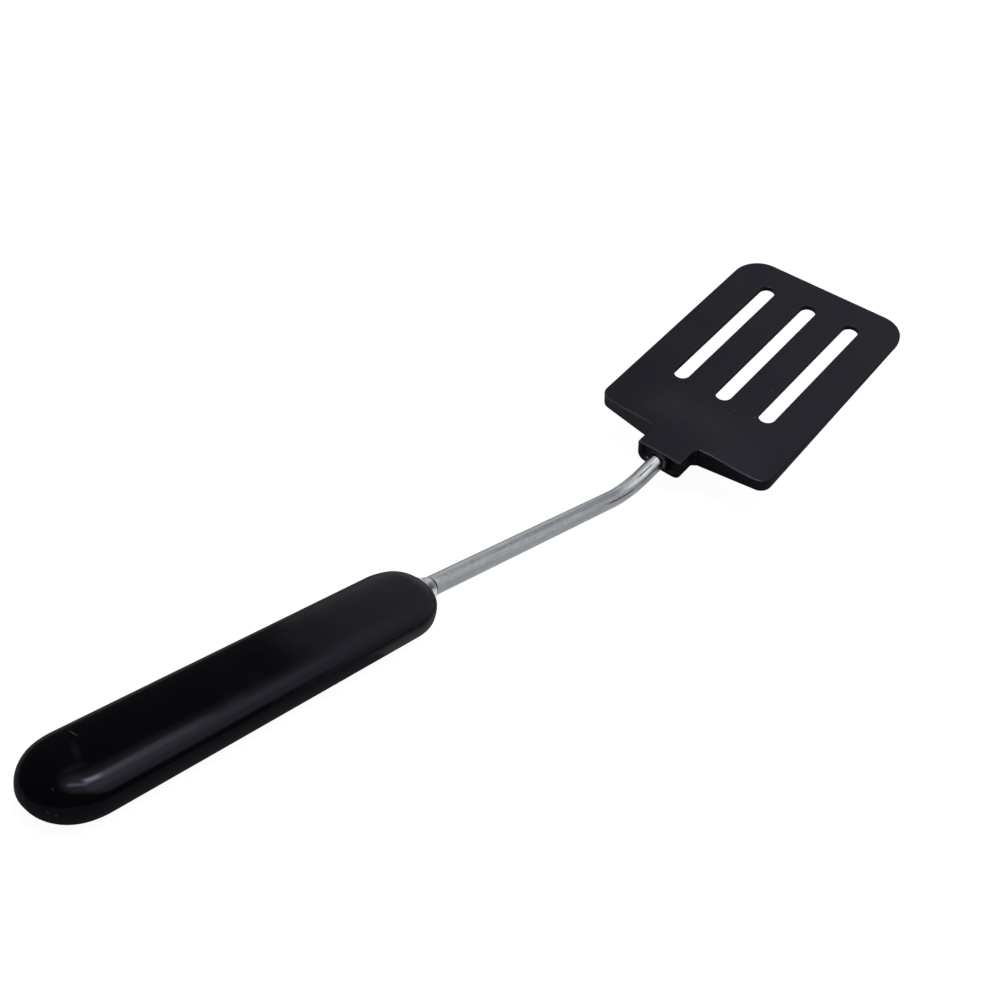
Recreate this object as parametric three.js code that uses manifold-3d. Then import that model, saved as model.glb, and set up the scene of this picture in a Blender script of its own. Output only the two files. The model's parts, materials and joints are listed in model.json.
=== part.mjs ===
// A slotted spatula: a moulded blade with its neck, a bent plated shaft, a ferrule and a moulded handle.
// Millimetres. +X runs from the handle to the blade, +Y to the left and +Z up. The spatula lies as it
// does on a table, on the belly of its handle and the bend of its shaft, with the origin under the
// middle of its box.
import * as THREE from "three";
import { mergeVertices } from "three/addons/utils/BufferGeometryUtils.js";
import Module from "manifold-3d";

// Handle: a long rounded body, its section between an ellipse and a rectangle
const HANDLE_LENGTH = 115;
const HANDLE_FRONT_WIDTH = 21.6;
const HANDLE_BUTT_WIDTH = 22.2;
const HANDLE_THICKNESS = 11.4;
const HANDLE_SQUARENESS = 2.5; // 2 is an ellipse, and more is squarer
const HANDLE_FRONT_ROUND = 12.2; // lengths over which the plan and the thickness close at each end
const HANDLE_BUTT_ROUND = 13;
const HANDLE_FRONT_EDGE = 6.8;
const HANDLE_BUTT_EDGE = 9.2;

// Shaft: one plated rod that dips a little as it leaves the ferrule and bends up behind the blade
const SHAFT_DIAMETER = 5.44;
const SHAFT_DIP_DEG = 2.5;
const SHAFT_REACH = 93.6; // corner of the dip to the corner of the bend
const BEND_DEG = 25.8;
const BEND_RADIUS = 42;
const NECK_REACH = 17.4; // corner of the bend to the neck's mouth
const HANDLE_TANG = 68; // depth of the rod inside the handle
const NECK_TANG = 15; // depth of the rod inside the neck
const EAR_LENGTH = 7; // ears pinched out of each end, which stop the rod from turning
const EAR_REACH = 1.5; // how far each stands out of the rod
const EAR_THICKNESS = 2.2;
const EAR_SETBACK = 2.5;
const FIT_GAP = 0.3; // clearance round whatever sits in a socket
const SLIDE_GAP = 0.15; // clearance between the rod and the ferrule

// Ferrule: a thin flared collar between the handle and the shaft
const FERRULE_WALL = 0.3;
const FERRULE_FLARE = 1; // how far its base stands out past its nose
const FERRULE_TAPER = 1.6; // length of the flare in front of the handle
const FERRULE_NOSE = 0.9; // and of the straight nose beyond it
const FERRULE_SEAT = 2.6; // depth of its seat in the handle
const DIP_START = 1.5; // from the nose to the corner of the shaft's dip

// Blade: a thin plate with a rim under its rear and sides, which fades out towards the front edge
const BLADE_WIDTH = 66;
const BLADE_LENGTH = 91.3; // rear corners to the front edge
const PLATE_THICKNESS = 2;
const FRONT_THICKNESS = 1.5;
const RIM_DEPTH = 4.9;
const RIM_WIDTH = 2;
const FRONT_CORNER = 10;
const REAR_CORNER = 4;
const REAR_SWEEP = 3.4; // how far the rear edge runs back towards the neck
const SLOT_COUNT = 3;
const SLOT_WIDTH = 5.7;
const SLOT_START = 22.3;
const SLOT_FRONT_MARGIN = 11;
const SLOT_SIDE_MARGIN = 13.1;

// Neck: a box behind the plate, whose top the plate climbs to, with an open mouth for the shaft
const NECK_LENGTH = 12; // rear corners of the blade to the mouth
const NECK_WIDTH = 16.8;
const NECK_FLARE = 0.9; // how much wider it gets on each side where it meets the plate
const NECK_RISE = 2.9; // top of the neck above the plate
const NECK_LIP = 0.6; // wall over the shaft
const NECK_FLOOR = 1.5; // and under it
const NECK_WALL = 1.6; // wall at each side of the mouth
const NECK_CORNER = 2;
const MOUTH_DEPTH = 2.4;
const CROWN_LENGTH = 22; // the plate is level from here forward
const CROWN_MARGIN = 4; // and from here outward to each side
const BOSS_LENGTH = 6; // the neck runs on under the plate, past the end of the rod
const BOSS_SLOPE = 6;

// Fineness of the round shapes
const ROUND_SIDES = 20;
const SHAFT_STEPS = 48;
const HANDLE_RINGS = 32;
const CROWN_STEPS = [28, 20];
const REST_POINTS = 200; // places tried along the handle and the shaft to find how they lie
const WELD = 1e-4; // points closer than this are one
const PAST = 5; // how far a cutter runs past the piece that it cuts

const SHAFT_RADIUS = SHAFT_DIAMETER / 2;
const FERRULE_BORE = SHAFT_RADIUS + SLIDE_GAP;
const FERRULE_RADIUS = FERRULE_BORE + FERRULE_WALL;
const FERRULE_BASE = FERRULE_RADIUS + FERRULE_FLARE;
const FERRULE_FRONT = FERRULE_TAPER + FERRULE_NOSE;
const SLOT_LENGTH = BLADE_LENGTH - SLOT_START - SLOT_FRONT_MARGIN;
const SLOT_PITCH = (BLADE_WIDTH - 2 * SLOT_SIDE_MARGIN - SLOT_WIDTH) / (SLOT_COUNT - 1);
const NECK_ROOT_WIDTH = NECK_WIDTH + 2 * NECK_FLARE;
const NECK_HEIGHT = SHAFT_DIAMETER + 2 * FIT_GAP + NECK_LIP + NECK_FLOOR;
const NECK_AXIS = NECK_RISE - NECK_LIP - FIT_GAP - SHAFT_RADIUS; // height of the shaft's axis over the plate

const wasm = await Module();
wasm.setup();

// Solids

function solidFrom(geometry) {
  const bare = new THREE.BufferGeometry();
  bare.setAttribute("position", geometry.getAttribute("position"));
  bare.setIndex(geometry.getIndex());
  const merged = mergeVertices(bare, WELD);
  return new wasm.Manifold(
    new wasm.Mesh({
      numProp: 3,
      vertProperties: new Float32Array(merged.getAttribute("position").array),
      triVerts: new Uint32Array(merged.getIndex().array),
    }),
  );
}

function geometryFrom(solid) {
  const mesh = solid.getMesh();
  const geometry = new THREE.BufferGeometry();
  geometry.setAttribute("position", new THREE.BufferAttribute(mesh.vertProperties, 3));
  geometry.setIndex(new THREE.BufferAttribute(mesh.triVerts, 1));
  geometry.computeVertexNormals();
  return geometry;
}

// A straight prism of a plan outline, from low to high
function prism(outline, low, high) {
  const geometry = new THREE.ExtrudeGeometry(outline, {
    depth: high - low,
    bevelEnabled: false,
    curveSegments: ROUND_SIDES / 2,
  });
  return solidFrom(geometry.translate(0, 0, low));
}

// A box between two corners
function block(low, high) {
  const size = new THREE.Vector3().subVectors(high, low);
  const middle = new THREE.Vector3().addVectors(low, high).multiplyScalar(0.5);
  return solidFrom(new THREE.BoxGeometry(size.x, size.y, size.z).translate(middle.x, middle.y, middle.z));
}

// A body of revolution about the X axis, from pairs of place along it and radius
function turned(profile) {
  const points = profile.map(([along, radius]) => new THREE.Vector2(radius, along));
  return solidFrom(new THREE.LatheGeometry(points, ROUND_SIDES).rotateZ(-Math.PI / 2));
}

// A round of the given radius at a corner, as the four control points of a cubic curve
function roundAt(before, corner, after, radius) {
  const back = before.clone().sub(corner).normalize();
  const ahead = after.clone().sub(corner).normalize();
  const turn = Math.PI - back.angleTo(ahead);
  const reach = radius * Math.tan(turn / 2);
  const pull = reach - (4 / 3) * Math.tan(turn / 4) * radius;
  return [
    corner.clone().addScaledVector(back, reach),
    corner.clone().addScaledVector(back, pull),
    corner.clone().addScaledVector(ahead, pull),
    corner.clone().addScaledVector(ahead, reach),
  ];
}

// A closed outline through corners given as [x, y, radius]
function roundedOutline(corners) {
  const points = corners.map(([x, y]) => new THREE.Vector2(x, y));
  const outline = new THREE.Shape();
  corners.forEach(([, , radius], i) => {
    const before = points.at(i - 1);
    const after = points[(i + 1) % points.length];
    const [start, first, second, end] = roundAt(before, points[i], after, radius);
    if (i === 0) outline.moveTo(start.x, start.y);
    else outline.lineTo(start.x, start.y);
    if (radius > 0) outline.bezierCurveTo(first.x, first.y, second.x, second.y, end.x, end.y);
  });
  outline.closePath();
  return outline;
}

// Handle, along X behind its front at the origin

// How far a length has opened at a distance from a rounded end
function opening(distance, round) {
  const share = Math.min(distance / round, 1);
  return Math.sqrt(share * (2 - share));
}

function handleHalfWidth(behind) {
  const ahead = HANDLE_LENGTH - behind;
  const width = THREE.MathUtils.lerp(HANDLE_FRONT_WIDTH, HANDLE_BUTT_WIDTH, behind / HANDLE_LENGTH);
  return (width / 2) * opening(behind, HANDLE_FRONT_ROUND) * opening(ahead, HANDLE_BUTT_ROUND);
}

function handleHalfThickness(behind) {
  const ahead = HANDLE_LENGTH - behind;
  return (HANDLE_THICKNESS / 2) * opening(behind, HANDLE_FRONT_EDGE) * opening(ahead, HANDLE_BUTT_EDGE);
}

// A sphere's points carried to the handle: its poles to the two ends, its rings to the sections
function handleBody() {
  const geometry = new THREE.SphereGeometry(1, 2 * ROUND_SIDES, HANDLE_RINGS);
  const place = geometry.getAttribute("position");
  const squared = (part) => Math.sign(part) * Math.abs(part) ** (2 / HANDLE_SQUARENESS);
  for (let i = 0; i < place.count; i++) {
    const pole = THREE.MathUtils.clamp(place.getY(i), -1, 1);
    const behind = (HANDLE_LENGTH * (1 - pole)) / 2;
    const ring = Math.hypot(place.getX(i), place.getZ(i)) || 1;
    place.setXYZ(
      i,
      -behind,
      handleHalfWidth(behind) * squared(place.getZ(i) / ring),
      handleHalfThickness(behind) * squared(place.getX(i) / ring),
    );
  }
  return solidFrom(geometry);
}

// The end of the rod with its ears, from the mouth of a socket at the origin inward along -X
function tang(depth, gap) {
  const radius = SHAFT_RADIUS + gap;
  const tip = -depth - gap;
  const rod = turned([
    [tip, 0],
    [tip, radius],
    [PAST, radius],
    [PAST, 0],
  ]);
  return rod.add(ears(depth, gap));
}

function ears(depth, gap) {
  const rear = EAR_SETBACK - depth;
  const wide = SHAFT_RADIUS + EAR_REACH;
  const half = new THREE.Vector3(EAR_LENGTH / 2, wide, EAR_THICKNESS / 2).addScalar(gap);
  const middle = new THREE.Vector3(rear + EAR_LENGTH / 2, 0, 0);
  return block(middle.clone().sub(half), middle.clone().add(half));
}

function ferruleSeat() {
  const radius = FERRULE_BASE + FIT_GAP;
  return turned([
    [-FERRULE_SEAT - FIT_GAP, 0],
    [-FERRULE_SEAT - FIT_GAP, radius],
    [PAST, radius],
    [PAST, 0],
  ]);
}

function handle() {
  return handleBody().subtract(tang(HANDLE_TANG, FIT_GAP)).subtract(ferruleSeat());
}

// Ferrule: a collar that narrows from its seat to its nose, open for the rod
function ferrule() {
  return turned([
    [-FERRULE_SEAT, FERRULE_BORE],
    [-FERRULE_SEAT, FERRULE_BASE],
    [0, FERRULE_BASE],
    [FERRULE_TAPER, FERRULE_RADIUS],
    [FERRULE_FRONT, FERRULE_RADIUS],
    [FERRULE_FRONT, FERRULE_BORE],
    [-FERRULE_SEAT, FERRULE_BORE],
  ]);
}

// Shaft, in the handle's frame
const dip = THREE.MathUtils.degToRad(SHAFT_DIP_DEG);
const pitch = THREE.MathUtils.degToRad(BEND_DEG) - dip; // the blade's slope against the handle
const along = (angle) => new THREE.Vector3(Math.cos(angle), 0, Math.sin(angle));
const dipCorner = new THREE.Vector3(FERRULE_FRONT + DIP_START, 0, 0);
const bendCorner = dipCorner.clone().addScaledVector(along(-dip), SHAFT_REACH);
const neckMouth = bendCorner.clone().addScaledVector(along(pitch), NECK_REACH);
const shaftCorners = [
  new THREE.Vector3(-HANDLE_TANG, 0, 0),
  dipCorner,
  bendCorner,
  neckMouth.clone().addScaledVector(along(pitch), NECK_TANG),
];

// Straight stretches joined by the two bends
function shaftPath() {
  const path = new THREE.CurvePath();
  let from = shaftCorners[0];
  for (let i = 1; i < shaftCorners.length - 1; i++) {
    const bend = roundAt(shaftCorners[i - 1], shaftCorners[i], shaftCorners[i + 1], BEND_RADIUS);
    path.add(new THREE.LineCurve3(from, bend[0]));
    path.add(new THREE.CubicBezierCurve3(...bend));
    from = bend[3];
  }
  path.add(new THREE.LineCurve3(from, shaftCorners.at(-1)));
  return path;
}

function shaft() {
  const section = new THREE.Shape().absarc(0, 0, SHAFT_RADIUS, 0, 2 * Math.PI);
  const rod = new THREE.ExtrudeGeometry(section, {
    steps: SHAFT_STEPS,
    curveSegments: ROUND_SIDES / 2,
    extrudePath: shaftPath(),
  });
  const neckEars = ears(NECK_TANG, 0).rotate(0, 180 - THREE.MathUtils.radToDeg(pitch), 0);
  return solidFrom(rod)
    .add(ears(HANDLE_TANG, 0))
    .add(neckEars.translate(neckMouth.x, neckMouth.y, neckMouth.z));
}

// Blade, in its own frame: the plate's top at zero height, its rear corners at zero length

// Height of the top: level over the slots, climbing to the neck in the middle of the rear
function crown(x, y) {
  const inner = NECK_ROOT_WIDTH / 2;
  const outer = BLADE_WIDTH / 2 - CROWN_MARGIN;
  const lengthwise = 1 - THREE.MathUtils.smoothstep(x, -REAR_SWEEP, CROWN_LENGTH);
  const crosswise = 1 - THREE.MathUtils.smoothstep(Math.abs(y), inner, outer);
  return NECK_RISE * lengthwise * crosswise;
}

function plateUnder(x, y) {
  return crown(x, y) - PLATE_THICKNESS;
}

function rimUnder(x) {
  return -THREE.MathUtils.lerp(RIM_DEPTH, FRONT_THICKNESS, Math.max(x, 0) / BLADE_LENGTH);
}

const neckUnder = NECK_RISE - NECK_HEIGHT;
const bossEnd = NECK_TANG - NECK_LENGTH + BOSS_LENGTH;

function bossUnder(x) {
  const share = THREE.MathUtils.clamp((x - bossEnd) / BOSS_SLOPE, 0, 1);
  return THREE.MathUtils.lerp(neckUnder, -PLATE_THICKNESS, share);
}

// The space between two surfaces over the whole blade
function between(top, under) {
  const [across, deep] = CROWN_STEPS;
  const length = BLADE_LENGTH + NECK_LENGTH;
  const geometry = new THREE.BoxGeometry(length, BLADE_WIDTH, 1, across, deep, 1);
  const place = geometry.getAttribute("position");
  for (let i = 0; i < place.count; i++) {
    const x = place.getX(i) + length / 2 - NECK_LENGTH;
    const y = place.getY(i);
    place.setXYZ(i, x, y, place.getZ(i) > 0 ? top(x, y) : under(x, y));
  }
  return solidFrom(geometry);
}

function bladePlan() {
  const side = BLADE_WIDTH / 2;
  const root = NECK_ROOT_WIDTH / 2;
  return roundedOutline([
    [BLADE_LENGTH, -side, FRONT_CORNER],
    [BLADE_LENGTH, side, FRONT_CORNER],
    [0, side, REAR_CORNER],
    [-REAR_SWEEP, root, 0],
    [-REAR_SWEEP, -root, 0],
    [0, -side, REAR_CORNER],
  ]);
}

// The space inside the rim, open at the front edge
function hollowPlan() {
  const side = BLADE_WIDTH / 2 - RIM_WIDTH;
  const root = NECK_ROOT_WIDTH / 2;
  const corner = Math.max(REAR_CORNER - RIM_WIDTH, 0);
  return roundedOutline([
    [BLADE_LENGTH + PAST, -side, 0],
    [BLADE_LENGTH + PAST, side, 0],
    [RIM_WIDTH, side, corner],
    [RIM_WIDTH - REAR_SWEEP, root, 0],
    [RIM_WIDTH - REAR_SWEEP, -root, 0],
    [RIM_WIDTH, -side, corner],
  ]);
}

function slotPlan(middle) {
  const radius = SLOT_WIDTH / 2;
  const outline = new THREE.Shape();
  outline.absarc(SLOT_START + SLOT_LENGTH - radius, middle, radius, -Math.PI / 2, Math.PI / 2);
  outline.absarc(SLOT_START + radius, middle, radius, Math.PI / 2, (3 * Math.PI) / 2);
  return outline;
}

// The neck seen from above, flaring into the rear of the blade and running on under it
function neckPlan() {
  const end = bossEnd + BOSS_SLOPE;
  const root = NECK_ROOT_WIDTH / 2;
  const mouth = NECK_WIDTH / 2;
  return roundedOutline([
    [end, -mouth, NECK_CORNER],
    [end, mouth, NECK_CORNER],
    [0, root, 0],
    [-REAR_SWEEP, root, 0],
    [-REAR_SWEEP - NECK_CORNER, mouth, 0],
    [-NECK_LENGTH, mouth, 0],
    [-NECK_LENGTH, -mouth, 0],
    [-REAR_SWEEP - NECK_CORNER, -mouth, 0],
    [-REAR_SWEEP, -root, 0],
    [0, -root, 0],
  ]);
}

// The neck seen from its mouth, with rounded lower edges, carried along X
function neckSection() {
  const half = NECK_ROOT_WIDTH / 2;
  const round = NECK_CORNER + (NECK_ROOT_WIDTH - NECK_WIDTH) / 2;
  const outline = roundedOutline([
    [-half, NECK_RISE + PAST, 0],
    [-half, neckUnder, round],
    [half, neckUnder, round],
    [half, NECK_RISE + PAST, 0],
  ]);
  const geometry = new THREE.ExtrudeGeometry(outline, {
    depth: BLADE_LENGTH,
    bevelEnabled: false,
    curveSegments: ROUND_SIDES / 2,
  });
  geometry.rotateX(Math.PI / 2).rotateZ(Math.PI / 2);
  return solidFrom(geometry.translate(-NECK_LENGTH - PAST, 0, 0));
}

function mouth() {
  const half = NECK_WIDTH / 2 - NECK_WALL;
  const height = SHAFT_RADIUS + FIT_GAP;
  return block(
    new THREE.Vector3(-NECK_LENGTH - PAST, -half, NECK_AXIS - height),
    new THREE.Vector3(-NECK_LENGTH + MOUTH_DEPTH, half, NECK_AXIS + height),
  );
}

function blade() {
  const low = neckUnder - PAST;
  const high = NECK_RISE + PAST;
  const hollow = between(plateUnder, () => low).intersect(prism(hollowPlan(), low - PAST, high));
  const plate = between(crown, rimUnder).intersect(prism(bladePlan(), low, high)).subtract(hollow);
  const neck = between(crown, bossUnder).intersect(prism(neckPlan(), low, high)).intersect(neckSection());
  const socket = tang(NECK_TANG, FIT_GAP).rotate(0, 180, 0).translate(-NECK_LENGTH, 0, NECK_AXIS);
  let whole = plate.add(neck).subtract(mouth()).subtract(socket);
  for (let i = 0; i < SLOT_COUNT; i++) {
    const middle = (i - (SLOT_COUNT - 1) / 2) * SLOT_PITCH;
    whole = whole.subtract(prism(slotPlan(middle), low, high));
  }
  return whole;
}

// The spatula put together

const blackHandle = { color: 0x17161a, roughness: 0.32, metalness: 0 };
const blackBlade = { color: 0x22222a, roughness: 0.5, metalness: 0 };
const plating = { color: 0xb9bbbd, roughness: 0.25, metalness: 1 };

function piece(name, solid, finish) {
  const mesh = new THREE.Mesh(geometryFrom(solid), new THREE.MeshStandardMaterial(finish));
  mesh.name = name;
  return mesh;
}

const bladeFrame = new THREE.Group();
bladeFrame.rotation.y = -pitch;
const mouthInBlade = new THREE.Vector3(-NECK_LENGTH, 0, NECK_AXIS).applyEuler(bladeFrame.rotation);
bladeFrame.position.subVectors(neckMouth, mouthInBlade);
bladeFrame.add(piece("blade", blade(), blackBlade));

const tool = new THREE.Group();
tool.add(
  piece("handle", handle(), blackHandle),
  piece("ferrule", ferrule(), plating),
  piece("shaft", shaft(), plating),
  bladeFrame,
);

// The tool settles until a line under it touches the handle's belly and the bend
const belly = Array.from({ length: REST_POINTS }, (_, i) => {
  const behind = (HANDLE_LENGTH * i) / REST_POINTS;
  return { x: -behind, z: -handleHalfThickness(behind) };
});
const underBend = shaftPath()
  .getSpacedPoints(REST_POINTS)
  .filter((point) => point.x > SHAFT_REACH / 2)
  .map((point) => ({ x: point.x, z: point.z - SHAFT_RADIUS }));
const slopeTo = (rear) => Math.min(...underBend.map((bend) => (bend.z - rear.z) / (bend.x - rear.x)));
tool.rotation.y = Math.atan(Math.max(...belly.map(slopeTo)));

const spatula = new THREE.Group();
spatula.add(tool);
const box = new THREE.Box3().setFromObject(spatula, true);
tool.position.set(-(box.min.x + box.max.x) / 2, -(box.min.y + box.max.y) / 2, -box.min.z);

export default spatula;
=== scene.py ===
"""The looks of a slotted spatula: a moulded nylon blade, a bent chrome-plated rod, a flared ferrule and a
glossy moulded handle, lying on a pale floor under soft studio light.

Shapes are worked out in millimetres as grids of points and go into their meshes in metres. The blade is
drawn in its own frame, with the plate's top at height zero and its rear corners at length zero. The handle,
the ferrule and the rod are drawn along a path that starts at the blade's neck. Each point also keeps its
place in its piece's own straight frame, so that a pattern runs along the piece.
"""

import json
import math

import bmesh
import bpy
import numpy as np
from mathutils import Matrix, Quaternion, Vector


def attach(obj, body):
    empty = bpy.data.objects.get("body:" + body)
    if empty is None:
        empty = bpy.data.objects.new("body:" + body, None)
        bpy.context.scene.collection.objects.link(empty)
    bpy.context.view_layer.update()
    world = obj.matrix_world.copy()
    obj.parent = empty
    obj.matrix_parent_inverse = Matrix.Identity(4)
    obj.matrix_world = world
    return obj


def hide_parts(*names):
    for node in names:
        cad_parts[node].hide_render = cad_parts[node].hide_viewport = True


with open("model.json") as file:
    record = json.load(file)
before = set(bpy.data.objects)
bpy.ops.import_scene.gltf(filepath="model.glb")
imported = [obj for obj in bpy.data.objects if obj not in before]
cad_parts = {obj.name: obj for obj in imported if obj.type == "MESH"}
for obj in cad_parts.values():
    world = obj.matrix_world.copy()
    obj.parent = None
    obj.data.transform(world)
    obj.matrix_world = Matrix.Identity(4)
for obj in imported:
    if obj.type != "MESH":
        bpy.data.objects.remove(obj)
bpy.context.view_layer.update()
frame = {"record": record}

MM = 0.001

# Blade sizes, in millimetres
BLADE_WIDTH = 66
BLADE_LENGTH = 91.3
PLATE_THICKNESS = 2
FRONT_THICKNESS = 1.5
RIM_DEPTH = 4.9
RIM_WIDTH = 2
RIM_DRAFT = 0.7
FRONT_CORNER = 10
REAR_CORNER = 4
REAR_SWEEP = 3.4
TOP_ROUND = 0.45
UNDER_ROUND = 0.45
SLOT_WIDTH = 5.7
SLOT_START = 22.3
SLOT_LENGTH = 58
SLOT_PITCH = 17.05
SLOT_ROUND = 0.3
EDGE_FADE = 0.18  # how far the rubbed edges, painted paler as highlight lines, reach inward
# How worn each kind of edge is; the rear and side edges are also painted paler as highlight lines
REAR_WEAR_AND_HIGHLIGHT = 1
SIDE_WEAR_AND_HIGHLIGHT = 0.1
SLOT_WEAR = 0.1

# Neck sizes
NECK_LENGTH = 12
NECK_WIDTH = 16.8
NECK_ROOT_WIDTH = 18.6
NECK_FLARE = 2
NECK_RISE = 2.9
NECK_LIP = 0.6
NECK_FLOOR = 1.5
NECK_UNDER_ROUND = 2.9
NECK_WALL = 1.8
MOUTH_DEPTH = 0.8  # drawn shallower than the solid's, as it looks in use, part filled with soil
MOUTH_ROUND = 0.3
MOUTH_DRAFT = 0.4
LIP_RELIEF = 0.15  # how much thinner the mouth's upper lip is at the floor
COLLAR_WALL = 0.8  # of the small collar round the rod inside the mouth
COLLAR_RISE = 0.8
BEAD_WALL = 0.8  # of a bead that the moulding left on the collar
BEAD_RISE = 2.2
BEAD_TURN_DEG = 168
BEAD_POWER = 12  # the higher, the narrower
TONGUE_RISE = 1.9  # of a tongue that it left over the rod
TONGUE_TURN_DEG = 95
TONGUE_POWER = 2
CROWN_LENGTH = 22
CROWN_MARGIN = 4
BOSS_END = 9
BOSS_SLOPE = 6
BOSS_DRAFT = 1.1

# Rod sizes
SHAFT_RADIUS = 2.72
ROD_RADIUS = 2.715  # the drawn rod is a hair thinner, to stay inside the solid's box
SHAFT_REACH = 93.6
SHAFT_DIP_DEG = 2.5
BEND_DEG = 25.8
BEND_RADIUS = 42
NECK_REACH = 17.4
NECK_TANG = 15
HANDLE_TANG = 68
EAR_LENGTH = 7
EAR_REACH = 1.5
EAR_THICKNESS = 2.2
EAR_SETBACK = 2.5
EAR_BLEND = 2
FIT_GAP = 0.3

# Creases that the bending tool left along the rod: how far behind the mouth they start and end, where they
# run round the rod in degrees from its left over its top, and their half width and depth
ROD_CREASES = (
    (15, 32, 150, 0.2, 0.12),
    (3, 14, 106, 0.2, 0.05),
)
CREASE_FADE = 3

# Ferrule sizes
FERRULE_BASE = 4.17
FERRULE_TAPER = 1.6
FERRULE_NOSE = 0.9
FERRULE_SEAT = 2.6
FERRULE_SEAT_RADIUS = 3.75
FERRULE_GAP = 0.03  # between the collar and what it holds
RIM_ROUND = 0.06
RIM_TURN_DEG = 36
FLARE_LENGTH = 1.9
FLARE_END = 2.95
FLARE_HOLLOW = 0.12  # how far the flare bows in, as a share of its length
GROOVE_LENGTH = 0.45
GROOVE_RADIUS = 2.79
LIP_RADIUS = 2.87
SHADE_TURN_DEG = 125  # where one side of the groove is painted dark as shade
DIP_START = 1.5

# Handle sizes
HANDLE_LENGTH = 114.99  # a hair under the solid's, as its thickness is, to stay inside its box
HANDLE_FRONT_WIDTH = 21.6
HANDLE_BUTT_WIDTH = 22.2
HANDLE_THICKNESS = 11.39
HANDLE_SQUARENESS = 2.5
HANDLE_FRONT_ROUND = 12.2
HANDLE_BUTT_ROUND = 13
HANDLE_FRONT_EDGE = 6.8
HANDLE_BUTT_EDGE = 9.2
RUB_START = 30  # the front that use has rubbed dull fades out between these lengths
RUB_END = 55

# How fine the grids are
ROUND_STEPS = 6
SLOT_STEPS = 10
CORNER_STEPS = 16
RING_POINTS = 160
HANDLE_RINGS = 160
SHAFT_RINGS = (70, 6, 30, 70, 70)
RIM_ROWS = 8
CROWN_ROWS = 36
SLOT_ROWS = 16
FRONT_ROWS = 14
ROOT_COLUMNS = 10
WEB_COLUMNS = 8
STRIP_COLUMNS = 4
FLARE_ROWS = 8
NECK_ROWS = 10
MOUTH_STEPS = 4
COLLAR_STEPS = 10
HALVINGS = 40  # of the range where a curve is searched for
CHANNEL_ENDS = (3, 6)  # a grid's point holds its place, its place in the piece's own frame, and its wear and painted light
MERGE = 0.002  # points closer than this are one
SHARP_DEG = 50  # steeper edges are left sharp

# Patterns of noise: spacing in millimetres, the levels of the noise where the pattern starts and where it
# is full, detail, and its scale along the piece, across it and upright. The tool's grain is some 0.05 mm,
# drawn ten times coarser so that it shows
EVEN = (1, 1, 1)
LENGTHWISE = (0.05, 1, 1)
CLOUDS = (18, 0.35, 0.65, 2, EVEN)
GRAIN = (0.5, 0.2, 0.8, 2, EVEN)
SCUFFS = (0.9, 0.58, 0.75, 3, LENGTHWISE)
WAVES = (9, 0.1, 0.9, 0, EVEN)
SMUDGES = (6, 0.5, 0.7, 2, EVEN)
HAIRLINES = (0.5, 0.6, 0.75, 2, LENGTHWISE)
STREAKS = (0.7, 0.35, 0.7, 2, LENGTHWISE)
MOTTLE = (2.2, 0.35, 0.65, 3, EVEN)
PITS = (2.6, 0.68, 0.74, 4, EVEN)
PATTERN_DEPTH = 0.1  # full height of a bump
MIX_UNDER, MIX_OVER, MIX_RESULT = 6, 7, 2  # the colour sockets of a mix node, which share names with others

# Finish of the blade: what each pattern adds to its roughness, its pale coats and its relief
NYLON_IOR = 1.53
NYLON_ROUGHNESS = 0.33
SCUFF_MATTING = 0.08
CLOUD_MATTING = 0.05
RUB_POLISH = -0.2
# The rubbed edges' paling, which also paints highlight lines on the blade's edges
RUB_PALING_AND_HIGHLIGHT = 0.7
SCUFF_PALING = 0.15
GRAIN_RELIEF = 0.12

# Finish of the handle
PLASTIC_IOR = 1.49
PLASTIC_ROUGHNESS = 0.12
RUB_HAZE = 0.15
SMUDGE_HAZE = 0.04
SMEAR_HAZE = 0.15
HAIRLINE_HAZE = 0.03
WAVE_RELIEF = 0.5
HAIRLINE_RELIEF = 0.02

# Finish of the rod and the ferrule
PLATE_ROUGHNESS = 0.17
MOTTLE_DULLING = 0.1
CREASE_DULLING = 0.3
STREAK_RELIEF = 0.06
MOTTLE_RELIEF = 0.15

# Small marks in the piece's own frame: middle and half sizes in millimetres, turn about the upright in
# degrees, and strength
MARK_CORE = 0.1  # the share of a mark's reach that has its full strength
BLADE_SPECKS = (
    ((36.1, -11.6, 0), (0.5, 0.3, 1), 20, 0.4),
    ((22.1, -14, 0), (0.5, 0.35, 1), 0, 0.9),
    ((20.9, -7.3, 0), (0.4, 0.35, 1), 0, 0.4),
    ((39.2, -27.6, 0), (0.4, 0.3, 1), 0, 0.4),
    ((26.4, -29.7, 0), (0.4, 0.3, 1), 0, 0.4),
)
# Nicks and scratches; the four small ones at the butt are painted glints
HANDLE_NICKS_AND_GLINTS = (
    ((-25.5, 2.9, 5.6), (0.2, 1.5, 1), 0, 0.12),
    ((-100.3, 5.4, 5.2), (0.25, 2.2, 1), 3, 0.5),
    ((-113.2, -5.6, 0.8), (0.4, 0.5, 0.4), 0, 0.6),
    ((-112.2, -6.8, 0.5), (0.4, 0.5, 0.4), 0, 0.6),
    ((-114.8, 0.1, 1.1), (0.4, 0.5, 0.4), 0, 0.4),
    ((-111.1, -3.9, 4.3), (0.4, 0.4, 0.4), 0, 0.3),
)
# Smudges that haze the gloss, painted paler as the edges of a reflection
HANDLE_SMEARS_AND_REFLECTIONS = (
    ((-102.8, 1, 5.6), (1.3, 4.5, 3), -20, 0.8),
    ((-106, -2.6, 5.2), (4, 1.2, 3), -10, 0.8),
)

# Camera, in the blade's frame
CAMERA_PLACE = (-236.95, -146.56, 298.91)
CAMERA_VIEW = (0.4605, 0.4492, -0.7656)
CAMERA_UP = (0.6014, 0.4765, 0.6413)
CAMERA_LENS = 44.4
SENSOR_WIDTH = 36
CLIP_RANGE = (0.01, 100)

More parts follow.
